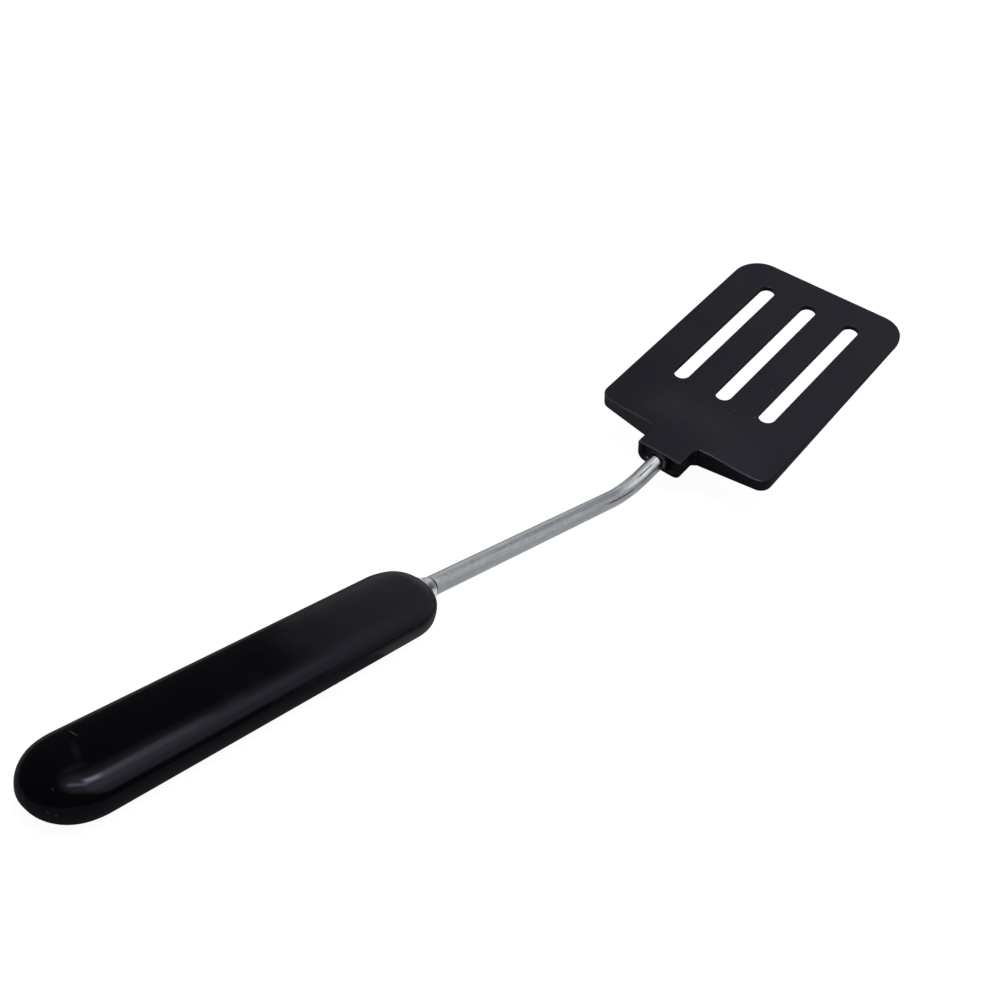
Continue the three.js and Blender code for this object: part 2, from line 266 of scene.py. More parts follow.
# The room as the object sees it. A patch is a cone of directions: its middle, the angles in degrees where
# it starts to fade and where it has faded, and its light. Where patches meet the brighter one is seen, and
# the ceiling's glow is added to them
ROOM_TINT = "#f8f9ff"
ROOM_LIGHT = 0.04
ROOM_SEEN = 1.1  # its light to the camera, white in spite of the tint
ROOM_PATCHES = (
    ((1, 0, 0), 51.5, 56, 0.4),
    ((0.52, -0.42, 0.74), 12, 30, 0.42),
)
CEILING_GLOW = ((0.17, -0.08, 0.98), 5, 33, 0.45)

# The pieces that a lamp can be kept to
BLADE = ("nylon_blade",)
ROD = ("bent_rod",)
FERRULE = ("flared_ferrule",)
HANDLE = ("moulded_handle",)

# Lamps far away: name, direction, how wide they look in degrees, how bright their discs are, whether they
# light matt surfaces, whether gloss shows them, and the pieces that they are kept to, if not all
FAR_LAMPS = (
    ("fill", (0.2, 0.4, 1), 80, 0.15, True, False, ()),
    ("blade_panel", (0.15, 0.8, 0.6), 90, 0.14, True, True, BLADE),
    ("blade_lip_lamp", (-0.71, 0.45, 0.54), 9, 12, True, True, BLADE),
    ("blade_right_lamp", (-0.785, -0.02, 0.62), 16, 17, False, True, BLADE),
    ("blade_left_lamp", (-0.43, 0.83, 0.35), 16, 3, True, True, BLADE),
    ("rod_panel", (-0.3, 0, 0.95), 126, 0.45, True, True, ROD + FERRULE),
    ("rod_left_panel", (0.1, 0.9, 0.42), 100, 0.25, True, True, ROD),
    ("rod_right_panel", (0.45, -0.8, 0.4), 84, 0.2, True, True, ROD),
    ("ferrule_panel", (0.3, 0.9, 0.3), 110, 0.4, True, True, FERRULE),
)

# Flat lamps on the ceiling, and light cards on the floor that face up: name, place, length and width in
# millimetres, turn in degrees, how bright they look, and the pieces that they are kept to, if not all
CEILING_LAMPS = (
    ("ceiling_tube", (-85, -10, 600), 250, 70, -27, 1.7, ()),
    ("ceiling_bulb", (80, 20, 600), 80, 80, 0, 4, ROD + FERRULE + HANDLE),
    ("blade_bulb", (80, 20, 600), 80, 80, 0, 1.2, BLADE),
    ("ceiling_panel", (120, 5, 601), 200, 150, 0, 0.55, ROD + FERRULE + HANDLE),
)
FLOOR_CARDS = (
    ("rod_card", (150, -110, 0.1), 420, 300, 0, 0.36, ROD + FERRULE),
    ("ferrule_card", (-10, 10, 0.2), 130, 60, 0, 0.5, FERRULE),
    ("blade_card", (58, 38, 0.1), 40, 50, 0, 0.12, BLADE),
    ("handle_card", (-48, -18, 0.1), 40, 14, 0, 0.17, HANDLE),
)
FACING_DOWN = Quaternion()
FACING_UP = Quaternion((1, 0, 0), math.pi)
FLOOR_HALF = 12.0
FLOOR_GLOW = 0.95
FLOOR_ROUGHNESS = 0.9

NECK_AXIS = NECK_RISE - NECK_LIP - FIT_GAP - SHAFT_RADIUS
NECK_UNDER = NECK_AXIS - SHAFT_RADIUS - FIT_GAP - NECK_FLOOR
SLOT_MIDDLES = (-SLOT_PITCH, 0, SLOT_PITCH)
FERRULE_FRONT = FERRULE_TAPER + FERRULE_NOSE

# Places in the blade's grid
SLOT_FIRST_ROW = RIM_ROWS + CROWN_ROWS
SLOT_LAST_ROW = SLOT_FIRST_ROW + SLOT_ROWS
ROOT_COLUMN = SLOT_STEPS + ROOT_COLUMNS - 2
OUTER_SLOT_COLUMN = ROOT_COLUMN + WEB_COLUMNS - 1
HALF_COLUMNS = OUTER_SLOT_COLUMN + 2 * SLOT_STEPS - 2 + STRIP_COLUMNS - 1 + CORNER_STEPS - 1


# Places in the frame

def heading(slope):
    """The direction of a slope in the plane of the rod."""
    return np.array((math.cos(slope), 0.0, math.sin(slope)))


def placed(points, zero, axes):
    """Points of a frame, given by its zero and its three axes, as points of the shared frame."""
    return zero + np.asarray(points) @ axes


# The blade's mount is on the web beside the middle slot, half way along the slots
mount = frame["record"]["mounts"][0]
blade_up = np.array(mount["axis"])
leftward = np.array((0.0, 1.0, 0.0))
blade_ahead = np.cross(leftward, blade_up)
blade_axes = np.array((blade_ahead, leftward, blade_up))
mount_in_blade = (SLOT_START + SLOT_LENGTH / 2, SLOT_PITCH / 2, 0)
blade_zero = np.array(mount["pos_m"]) / MM - placed(mount_in_blade, 0, blade_axes)
blade_slope = math.atan2(blade_ahead[2], blade_ahead[0])

# From the neck's mouth the rod's corners lead back to the handle
shaft_slope = blade_slope - math.radians(BEND_DEG)
handle_slope = shaft_slope + math.radians(SHAFT_DIP_DEG)
neck_mouth = placed((-NECK_LENGTH, 0, NECK_AXIS), blade_zero, blade_axes)
bend_corner = neck_mouth - NECK_REACH * heading(blade_slope)
dip_corner = bend_corner - SHAFT_REACH * heading(shaft_slope)
handle_front = dip_corner - (FERRULE_FRONT + DIP_START) * heading(handle_slope)
handle_axes = np.array((heading(handle_slope), leftward, np.cross(heading(handle_slope), leftward)))


# Numbers

def smooth(low, high, value):
    """Rises from 0 at low to 1 at high, level at both."""
    share = np.clip((value - low) / (high - low), 0, 1)
    return share * share * (3 - 2 * share)


def mix(start, end, share):
    """The value that is a share of the way from start to end."""
    return start + (end - start) * share


def joined(*runs):
    """Runs of numbers or rows end to end, each of which starts with what the last run ended with."""
    return np.concatenate([runs[0]] + [run[1:] for run in runs[1:]])


def quarter(steps=ROUND_STEPS):
    """Angles over a quarter turn."""
    return np.linspace(0, math.pi / 2, steps)


def full_turn():
    """Angles round a ring, from the left over the top, with the first one again at the end."""
    return np.linspace(0, 2 * math.pi, RING_POINTS + 1)


# Meshes

def dressed(places, local, wear_and_painted_light, kept=None):
    """A grid for make_piece: points of the row's frame, the same points in the piece's own frame, its wear
    and painted light, and which of the grid's quads are there."""
    wear_and_painted_light = np.broadcast_to(wear_and_painted_light, places.shape[:-1])[..., None]
    return np.concatenate((places, local, wear_and_painted_light), axis=-1), kept


def make_piece(name, grids, material):
    """One closed object from grids of points in millimetres. Grids meet point for point, so merging equal
    points closes the seams and the poles."""
    rows, faces, first = [], [], 0
    for grid, kept in grids:
        high, wide, channels = grid.shape
        number = first + np.arange(high * wide).reshape(high, wide)
        corners = np.stack((number[:-1, :-1], number[:-1, 1:], number[1:, 1:], number[1:, :-1]), axis=-1)
        faces.append(corners.reshape(-1, 4) if kept is None else corners[kept])
        rows.append(grid.reshape(-1, channels))
        first += high * wide
    used, faces = np.unique(np.concatenate(faces), return_inverse=True)
    places, local, wear_and_painted_light = np.split(np.concatenate(rows)[used], CHANNEL_ENDS, axis=1)
    mesh = bpy.data.meshes.new(name)
    mesh.from_pydata((places * MM).tolist(), [], faces.reshape(-1, 4).tolist())
    kept_local = mesh.attributes.new("local", "FLOAT_VECTOR", "POINT")
    kept_local.data.foreach_set("vector", (local * MM).astype(np.float32).ravel())
    kept_wear_and_light = mesh.attributes.new("wear_and_painted_light", "FLOAT", "POINT")
    kept_wear_and_light.data.foreach_set("value", wear_and_painted_light.astype(np.float32).ravel())
    body = bmesh.new()
    body.from_mesh(mesh)
    bmesh.ops.remove_doubles(body, verts=body.verts, dist=MERGE * MM)
    bmesh.ops.recalc_face_normals(body, faces=body.faces)
    body.to_mesh(mesh)
    body.free()
    mesh.shade_smooth()
    mesh.set_sharp_from_angle(angle=math.radians(SHARP_DEG))
    mesh.materials.append(material)
    piece = bpy.data.objects.new(name, mesh)
    bpy.context.scene.collection.objects.link(piece)
    return piece


# Blade

def crown(x, y):
    """Height of the blade's top: level over the slots, with a smooth climb to the neck."""
    lengthwise = 1 - smooth(-REAR_SWEEP, CROWN_LENGTH, x)
    crosswise = 1 - smooth(NECK_ROOT_WIDTH / 2, BLADE_WIDTH / 2 - CROWN_MARGIN, np.abs(y))
    return NECK_RISE * lengthwise * crosswise


def rim_under(x):
    """Height of the rim's lower edge, from its full depth at the rear to the thin front edge."""
    return -mix(RIM_DEPTH, FRONT_THICKNESS, np.maximum(x, 0) / BLADE_LENGTH)


def neck_share(x):
    """0 on the plate and 1 on the neck, with the flare between them."""
    return smooth(REAR_SWEEP, REAR_SWEEP + NECK_FLARE, -x)


def plan(inset, neck_inset, outset):
    """The blade seen from above, drawn in by inset at its outline and by neck_inset at its neck, with its
    slots opened by outset. Columns run lengthwise at places across the blade. Rows are curves between the
    rear edge, the rim, the two ends of the slots and the front edge. Returns the plate's grid and the
    neck's."""
    half = slot_columns(neck_inset, outset, inset)
    y = np.concatenate((-half[:0:-1], half))
    rear = rear_edge(y, inset, neck_inset)
    run = np.maximum(np.abs(y) - (BLADE_WIDTH / 2 - FRONT_CORNER), 0)
    front = BLADE_LENGTH - FRONT_CORNER + np.sqrt(np.maximum((FRONT_CORNER - inset) ** 2 - run ** 2, 0))
    beside = np.min([np.abs(y - middle) for middle in SLOT_MIDDLES], axis=0)
    bulge = np.sqrt(np.maximum((SLOT_WIDTH / 2 + outset) ** 2 - beside ** 2, 0))
    first = SLOT_START + SLOT_WIDTH / 2 - bulge
    last = SLOT_START + SLOT_LENGTH - SLOT_WIDTH / 2 + bulge
    rim = rear + RIM_WIDTH + RIM_DRAFT
    curves = (rear, rim, first, last, front)
    counts = (RIM_ROWS, CROWN_ROWS, SLOT_ROWS, FRONT_ROWS)
    stretches = [mix(a, b, np.arange(n)[:, None] / n) for a, b, n in zip(curves, curves[1:], counts)]
    x = np.concatenate(stretches + [front[None]])
    plate = np.stack((x, np.broadcast_to(y, x.shape)), axis=-1)
    return plate, neck_plan(rear, y, neck_inset)


def slot_columns(neck_inset, outset, inset):
    """Places across half of the blade, from its middle: over half a slot, to the neck's root, over the web,
    over the outer slot, and along a strip to the outline, close together at the round ends and corners."""
    radius = SLOT_WIDTH / 2 + outset
    root = NECK_ROOT_WIDTH / 2 - neck_inset
    corner = BLADE_WIDTH / 2 - FRONT_CORNER
    return joined(
        radius * np.sin(quarter(SLOT_STEPS)),
        np.linspace(radius, root, ROOT_COLUMNS),
        np.linspace(root, SLOT_PITCH - radius, WEB_COLUMNS),
        SLOT_PITCH + radius * np.sin(joined(-quarter(SLOT_STEPS)[::-1], quarter(SLOT_STEPS))),
        np.linspace(SLOT_PITCH + radius, corner, STRIP_COLUMNS),
        corner + (FRONT_CORNER - inset) * np.sin(quarter(CORNER_STEPS)),
    )


def rear_edge(y, inset, neck_inset):
    """Length of the rear edge at places across: level at the neck, a straight sweep, and a round corner."""
    side = BLADE_WIDTH / 2
    root = NECK_ROOT_WIDTH / 2
    lean = math.atan(REAR_SWEEP / (side - root))
    across = np.maximum(np.abs(y), root - neck_inset)
    middle = side - REAR_CORNER
    sweep = (across - root) * math.tan(lean) - REAR_SWEEP + inset / math.cos(lean)
    centre = (middle - root) * math.tan(lean) - REAR_SWEEP + REAR_CORNER / math.cos(lean)
    radius = REAR_CORNER - inset
    corner = centre - np.sqrt(np.maximum(radius ** 2 - (across - middle) ** 2, 0))
    return np.where(across > middle + radius * math.sin(lean), corner, sweep)


def neck_plan(rear, y, neck_inset):
    """The neck seen from above: the plate's middle columns carried back to the mouth, closer together after
    the flare."""
    centre = len(y) // 2
    columns = slice(centre - ROOT_COLUMN, centre + ROOT_COLUMN + 1)
    root = rear[centre]
    flare_end = -REAR_SWEEP - NECK_FLARE
    x = joined(
        np.linspace(root, flare_end, FLARE_ROWS),
        np.linspace(flare_end, MOUTH_ROUND - NECK_LENGTH, NECK_ROWS),
    )
    half = mix(NECK_ROOT_WIDTH / 2, NECK_WIDTH / 2, smooth(root, flare_end, x)) - neck_inset
    share = y[columns] / (NECK_ROOT_WIDTH / 2 - neck_inset)
    wide = half[:, None] * share
    return np.stack((np.broadcast_to(x[:, None], wide.shape), wide), axis=-1)


def outline(plate, neck):
    """The path round the plan, from the mouth's left forward, round the blade and back to its right."""
    centre = plate.shape[1] // 2
    return np.concatenate((
        neck[::-1, -1],
        plate[0, centre + ROOT_COLUMN + 1:],
        plate[1:, -1],
        plate[-1, -2::-1],
        plate[-2::-1, 0],
        plate[0, 1:centre - ROOT_COLUMN + 1],
        neck[1:, 0],
    ))


def slot_paths(plate):
    """The closed path round each slot."""
    centre = plate.shape[1] // 2
    half = SLOT_STEPS - 1
    paths = []
    for middle in (centre - OUTER_SLOT_COLUMN - half, centre, centre + OUTER_SLOT_COLUMN + half):
        low, high = middle - half, middle + half
        paths.append(np.concatenate((
            plate[SLOT_FIRST_ROW, low:high + 1],
            plate[SLOT_FIRST_ROW + 1:SLOT_LAST_ROW, high],
            plate[SLOT_LAST_ROW, high:low - 1:-1],
            plate[SLOT_LAST_ROW - 1:SLOT_FIRST_ROW - 1:-1, low],
        )))
    return paths


def plate_quads():
    """Which quads of the plate's grid are there: all but those in the slots."""
    columns = 2 * HALF_COLUMNS
    kept = np.ones((SLOT_LAST_ROW + FRONT_ROWS, columns), bool)
    half = SLOT_STEPS - 1
    for middle in (-OUTER_SLOT_COLUMN - half, 0, OUTER_SLOT_COLUMN + half):
        low = columns // 2 + middle - half
        kept[SLOT_FIRST_ROW:SLOT_LAST_ROW, low:low + 2 * half] = False
    return kept


def edge_wear_and_highlight(x, y):
    """How rubbed the top is, and how much painted highlight it carries: most at its rear edges and its
    neck's lip, and little at its other edges. It fades away from each edge as an exponential."""
    across = np.abs(y)
    rear = np.where(across < NECK_ROOT_WIDTH / 2, x + NECK_LENGTH, x - rear_edge(y, 0, 0))
    side = np.where(x < -REAR_SWEEP, NECK_ROOT_WIDTH, BLADE_WIDTH) / 2 - across
    middle = SLOT_START + SLOT_LENGTH / 2
    straight = (SLOT_LENGTH - SLOT_WIDTH) / 2
    past = np.maximum(np.abs(x - middle) - straight, 0)
    slot = np.min([np.hypot(past, y - place) for place in SLOT_MIDDLES], axis=0) - SLOT_WIDTH / 2
    edges = ((rear, REAR_WEAR_AND_HIGHLIGHT), (side, SIDE_WEAR_AND_HIGHLIGHT), (BLADE_LENGTH - x, SIDE_WEAR_AND_HIGHLIGHT), (slot, SLOT_WEAR))
    return np.max([wear * np.exp(-np.maximum(gap, 0) / EDGE_FADE) for gap, wear in edges], axis=0)


def sheet_under(x, y, gap):
    """Height of the underside: the rim at the outline, the plate inside it, and the neck's boss in its
    middle, with smooth steps between them."""
    plate = crown(x, y) - np.minimum(PLATE_THICKNESS, -rim_under(x))
    height = mix(rim_under(x), plate, smooth(RIM_WIDTH, RIM_WIDTH + RIM_DRAFT, gap + UNDER_ROUND))
    boss_half = NECK_ROOT_WIDTH / 2 - NECK_UNDER_ROUND
    boss = np.maximum(1 - smooth(boss_half - BOSS_DRAFT, boss_half, np.abs(y)), neck_share(x))
    boss = boss * (1 - smooth(BOSS_END, BOSS_END + BOSS_SLOPE, x))
    return mix(height, NECK_UNDER, boss)


def outline_band():
    """The blade's edge: at each step down its section, the outline drawn in by the round of the edge there.
    The section is a quarter round at the top, an upright wall and a quarter round at the bottom."""
    layers = []
    for turn in quarter():
        inset = TOP_ROUND * (1 - math.sin(turn))
        x, y = np.moveaxis(outline(*plan(inset, inset, SLOT_ROUND)), -1, 0)
        layers.append((x, y, crown(x, y) - TOP_ROUND * (1 - math.cos(turn))))
    for turn in quarter():
        inset = 1 - math.cos(turn)
        x, y = np.moveaxis(outline(*plan(UNDER_ROUND * inset, NECK_UNDER_ROUND * inset, SLOT_ROUND)), -1, 0)
        share = neck_share(x)
        under = mix(rim_under(x), NECK_UNDER, share)
        rise = mix(UNDER_ROUND, NECK_UNDER_ROUND, share) * (1 - math.sin(turn))
        layers.append((x, y, under + rise))
    return np.stack([np.stack(layer, axis=-1) for layer in layers])


def slot_bands():
    """The walls of the slots: each slot's path, opened by the round of its edges at the top and bottom."""
    layers = []
    for turn in quarter():
        drop = SLOT_ROUND * (1 - math.cos(turn))
        paths = slot_paths(plan(0, 0, SLOT_ROUND * (1 - math.sin(turn)))[0])
        layers.append([np.column_stack((path, np.full(len(path), -drop))) for path in paths])
    for turn in quarter():
        rise = SLOT_ROUND * (1 - math.sin(turn))
        paths = slot_paths(plan(0, 0, SLOT_ROUND * (1 - math.cos(turn)))[0])
        under = [-np.minimum(PLATE_THICKNESS, -rim_under(path[:, 0])) for path in paths]
        layers.append([np.column_stack((path, height + rise)) for path, height in zip(paths, under)])
    walls = [np.stack(wall) for wall in zip(*layers)]
    return [np.concatenate((wall, wall[:, :1]), axis=1) for wall in walls]


def collar_rows(angle, room):
    """The collar round the rod in the mouth, as lengths and radii at angles round the rod, no wider than
    the room there. Its section is a half round that swells to a bead and a tongue as powers of cosines."""
    floor = MOUTH_DEPTH - NECK_LENGTH
    socket = SHAFT_RADIUS + FIT_GAP
    bead = np.maximum(np.cos(angle - math.radians(BEAD_TURN_DEG)), 0) ** BEAD_POWER
    tongue = np.maximum(np.cos(angle - math.radians(TONGUE_TURN_DEG)), 0) ** TONGUE_POWER
    half = np.minimum(COLLAR_WALL + BEAD_WALL * bead, room) / 2
    rise = half * 2 * COLLAR_RISE / COLLAR_WALL + BEAD_RISE * bead + TONGUE_RISE * tongue
    rows = [(floor, socket + 2 * half)]
    for turn in joined(quarter(MOUTH_STEPS), math.pi / 2 + quarter(MOUTH_STEPS)):
        rows.append((floor - rise + half * (1 - math.sin(turn)), socket + half * (1 + math.cos(turn))))
    return rows


def mouth_grid(top_row, band, under_row):
    """The neck's open mouth: the section at its end is rounded over, drawn in to the mouth, carried in to
    its floor, drawn in to the collar, and carried on in the socket of the rod to its end."""
    loop = np.concatenate((top_row, band[1:-1, 0], under_row[::-1], band[-2::-1, -1]))
    y, z = loop[:, 1], loop[:, 2] - NECK_AXIS
    tall = np.where(z > 0, NECK_RISE - NECK_AXIS, NECK_AXIS - NECK_UNDER)
    wall = np.where(z > 0, NECK_LIP, NECK_FLOOR)
    end = -NECK_LENGTH
    rows = []
    for turn in quarter(MOUTH_STEPS):
        draw = MOUTH_ROUND * (1 - math.cos(turn))
        rows.append((end + MOUTH_ROUND * (1 - math.sin(turn)), draw, draw))
    rows.append((end, NECK_WALL - MOUTH_ROUND / 2, wall - MOUTH_ROUND / 2))
    rows.append((end + MOUTH_ROUND / 2, NECK_WALL, wall))
    wall = np.where(z > 0, NECK_LIP - LIP_RELIEF, NECK_FLOOR + MOUTH_DRAFT)
    rows.append((end + MOUTH_DEPTH, NECK_WALL + MOUTH_DRAFT, wall))
    sections = [
        (x, y * (1 - draw_y / (NECK_WIDTH / 2)), z * (1 - draw_z / tall))
        for x, draw_y, draw_z in rows
    ]
    angle = np.arctan2(z, y)
    socket = SHAFT_RADIUS + FIT_GAP
    socket_end = end + NECK_TANG + FIT_GAP
    room = np.hypot(*sections[-1][1:]) - socket
    for x, radius in collar_rows(angle, room) + [(socket_end, socket), (socket_end, 0)]:
        sections.append((x, radius * np.cos(angle), radius * np.sin(angle)))
    points = [np.column_stack((np.broadcast_to(x, y.shape), a, NECK_AXIS + b)) for x, a, b in sections]
    return np.stack(points)


def blade_grids():
    """The blade as one closed skin: its top, its underside, its edge, the walls of its slots and its mouth.
    It is worn at the edges of its top, which are also painted paler as highlight lines."""
    plate, neck = plan(TOP_ROUND, TOP_ROUND, SLOT_ROUND)
    top = [np.dstack((part, crown(part[..., 0], part[..., 1]))) for part in (plate, neck)]
    plate, neck = plan(UNDER_ROUND, NECK_UNDER_ROUND, SLOT_ROUND)
    x, y = plate[..., 0], plate[..., 1]
    gap = np.minimum(BLADE_WIDTH / 2 - UNDER_ROUND - np.abs(y), x - x[0])
    under = [
        np.dstack((plate, sheet_under(x, y, gap))),
        np.dstack((neck, sheet_under(neck[..., 0], neck[..., 1], 0))),
    ]
    band = outline_band()
    mouth = mouth_grid(top[1][-1], band, under[1][-1])
    kept = plate_quads()
    grids = [(top[0], kept), (under[0], kept)]
    grids += [(part, None) for part in (top[1], under[1], band, mouth, *slot_bands())]
    skins = []
    for points, quads in grids:
        x, y, z = np.moveaxis(points, -1, 0)
        wear_and_painted_light = edge_wear_and_highlight(x, y) * smooth(-TOP_ROUND, 0, z - crown(x, y))
        skins.append(dressed(placed(points, blade_zero, blade_axes), points, wear_and_painted_light, quads))
    return skins


# Handle

def opening(distance, round_length):
    """How far a rounded end has opened at a distance from its tip: a quarter of an ellipse."""
    share = np.clip(distance / round_length, 0, 1)
    return np.sqrt(share * (2 - share))


def handle_section(behind, angle):
    """Points of the handle's skin at distances behind its front, at angles round it. The section is a
    superellipse whose width and thickness open from both ends."""
    ahead = HANDLE_LENGTH - behind
    width = mix(HANDLE_FRONT_WIDTH, HANDLE_BUTT_WIDTH, behind / HANDLE_LENGTH) / 2
    width = width * opening(behind, HANDLE_FRONT_ROUND) * opening(ahead, HANDLE_BUTT_ROUND)
    thick = HANDLE_THICKNESS / 2 * opening(behind, HANDLE_FRONT_EDGE) * opening(ahead, HANDLE_BUTT_EDGE)
    power = 2 / HANDLE_SQUARENESS
    across = width * np.sign(np.cos(angle)) * np.abs(np.cos(angle)) ** power
    up = thick * np.sign(np.sin(angle)) * np.abs(np.sin(angle)) ** power
    return across, up


def seat_edge(angle, radius):
    """How far behind the front the skin is a radius away from the axis, found at every angle by halving the
    range that it lies in."""
    low, high = np.zeros_like(angle), np.full_like(angle, HANDLE_FRONT_EDGE)
    for _ in range(HALVINGS):
        middle = (low + high) / 2
        inside = np.hypot(*handle_section(middle, angle)) < radius
        low, high = np.where(inside, middle, low), np.where(inside, high, middle)
    return high


def handle_skin(x, y, z, wear_and_painted_light):
    """A grid of the handle's own frame, which has its front at zero and x forward."""
    points = np.stack(np.broadcast_arrays(x, y, z), axis=-1)
    return dressed(placed(points, handle_front, handle_axes), points, wear_and_painted_light)


def handle_grids():
    """The handle's skin from the edge of the ferrule's seat to the butt, with the seat and the rod's socket.
    It is worn at its front."""
    angle = full_turn()
    hole = FERRULE_SEAT_RADIUS + FERRULE_GAP
    share = (1 - np.cos(np.linspace(0, math.pi, HANDLE_RINGS)))[:, None] / 2
    behind = mix(seat_edge(angle, hole), HANDLE_LENGTH, share)
    across, up = handle_section(behind, angle)
    wear_and_painted_light = 1 - smooth(RUB_START, RUB_END, behind)
    turn = np.arctan2(up[0], across[0])
    socket = SHAFT_RADIUS + FIT_GAP
    chamber = SHAFT_RADIUS + EAR_REACH + FIT_GAP
    chamber_start = HANDLE_TANG - EAR_SETBACK - EAR_LENGTH - EAR_BLEND
    depth = np.array((
        FERRULE_SEAT + FIT_GAP, FERRULE_SEAT + FIT_GAP, chamber_start, chamber_start,
        HANDLE_TANG + FIT_GAP, HANDLE_TANG + FIT_GAP,
    ))[:, None]
    radius = np.array((hole, socket, socket, chamber, chamber, 0))[:, None]
    along = np.concatenate((behind[:1], np.broadcast_to(depth, (len(depth), len(turn)))))
    left = np.concatenate((across[:1], radius * np.cos(turn)))
    high = np.concatenate((up[:1], radius * np.sin(turn)))
    return [handle_skin(-behind, across, up, wear_and_painted_light), handle_skin(-along, left, high, 0)]


# Ferrule and rod

def flared_rim(seat):
    """The ferrule's rim and flare as lengths and radii, over a seat on the handle's skin: part of a small
    circle, then a shallow quadratic curve to the groove."""
    turn = np.linspace(-math.pi / 2, math.radians(RIM_TURN_DEG), COLLAR_STEPS)[:, None]
    rim_along = RIM_ROUND + FERRULE_GAP - seat + RIM_ROUND * np.sin(turn)
    rim_radius = FERRULE_BASE - RIM_ROUND + RIM_ROUND * np.cos(turn) + np.zeros_like(seat)
    share = np.linspace(0, 1, COLLAR_STEPS)[:, None]
    bow = 2 * FLARE_HOLLOW * share * (1 - share)
    along = joined(rim_along, mix(rim_along[-1], FLARE_LENGTH, share - bow))
    radius = joined(rim_radius, mix(rim_radius[-1], FLARE_END, share + bow))
    return along, radius


def ferrule_grids():
    """A collar carried round the handle's axis. Its profile is a seat, a rim that lies on the handle's skin
    at every angle, a flare, a groove, a lip and the bore of the rod. One side of the groove is painted
    dark as shade."""
    seat = seat_edge(full_turn(), FERRULE_BASE - RIM_ROUND)
    across, up = handle_section(seat, full_turn())
    angle = np.arctan2(up, across)
    level = np.zeros_like(angle)
    bore = ROD_RADIUS + FERRULE_GAP
    rim_along, rim_radius = flared_rim(seat)
    groove_end = FLARE_LENGTH + GROOVE_LENGTH
    nose = np.array((
        (FLARE_LENGTH, GROOVE_RADIUS, 1),
        (groove_end, GROOVE_RADIUS, 1),
        (groove_end, LIP_RADIUS, 0),
        (FERRULE_FRONT, (LIP_RADIUS + bore) / 2, 0),
        (FERRULE_FRONT, bore, 0),
        (-FERRULE_SEAT, bore, 0),
        (-FERRULE_SEAT, FERRULE_SEAT_RADIUS, 0),
    ))
    seat_radius = level[None] + FERRULE_SEAT_RADIUS
    along = np.concatenate((rim_along, nose[:, :1] + level, rim_along[:1], rim_along[:1]))
    radius = np.concatenate((rim_radius, nose[:, 1:2] + level, seat_radius, rim_radius[:1]))
    painted_shade = np.zeros_like(along)
    # One side of the groove painted dark as shade
    shaded_side = np.maximum(np.cos(angle - math.radians(SHADE_TURN_DEG)), 0)
    painted_shade[len(rim_along):len(rim_along) + len(nose)] = nose[:, 2:] * shaded_side
    return [handle_skin(along, radius * np.cos(angle), radius * np.sin(angle), painted_shade)]


def shaft_line():
    """The rod's middle line as lengths along it, points and slopes: straight runs joined by two arcs."""
    reach_dip = BEND_RADIUS * math.tan(math.radians(SHAFT_DIP_DEG) / 2)
    reach_bend = BEND_RADIUS * math.tan(math.radians(BEND_DEG) / 2)
    runs = (
        (HANDLE_TANG + FERRULE_FRONT + DIP_START - reach_dip, 0),
        (BEND_RADIUS * math.radians(SHAFT_DIP_DEG), -math.radians(SHAFT_DIP_DEG)),
        (SHAFT_REACH - reach_dip - reach_bend, 0),
        (BEND_RADIUS * math.radians(BEND_DEG), math.radians(BEND_DEG)),
        (NECK_REACH - reach_bend + NECK_TANG, 0),
    )
    ends = np.concatenate(((0,), np.cumsum([length for length, _ in runs])))
    turns = np.concatenate(((0,), np.cumsum([turn for _, turn in runs])))
    length = joined(*[np.linspace(a, b, rings) for a, b, rings in zip(ends, ends[1:], SHAFT_RINGS)])
    slope = handle_slope + np.interp(length, ends, turns)
    turn = np.diff(slope)
    middle = slope[:-1] + turn / 2
    chord = np.diff(length) * np.sinc(turn / (2 * math.pi))
    moves = chord[:, None] * np.column_stack((np.cos(middle), np.zeros_like(middle), np.sin(middle)))
    start = handle_front - HANDLE_TANG * heading(handle_slope)
    points = start + np.concatenate((np.zeros((1, 3)), np.cumsum(moves, axis=0)))
    return length, points, slope


def ear_share(length, whole):
    """1 over the pinched ears at both ends of the rod, and 0 elsewhere."""
    from_end = np.minimum(length, whole - length)
    rise = smooth(EAR_SETBACK - EAR_BLEND, EAR_SETBACK, from_end)
    fall = smooth(EAR_SETBACK + EAR_LENGTH, EAR_SETBACK + EAR_LENGTH + EAR_BLEND, from_end)
    return rise * (1 - fall)


def crease(behind, angle, start, end, turn_deg, half_width):
    """1 along the floor of a crease, fading to 0 at its ends and, as a bell curve, to its sides."""
    along = smooth(start, start + CREASE_FADE, behind) * (1 - smooth(end - CREASE_FADE, end, behind))
    aside = (angle - math.radians(turn_deg)) * ROD_RADIUS / half_width
    return along[:, None] * np.exp(-aside ** 2)


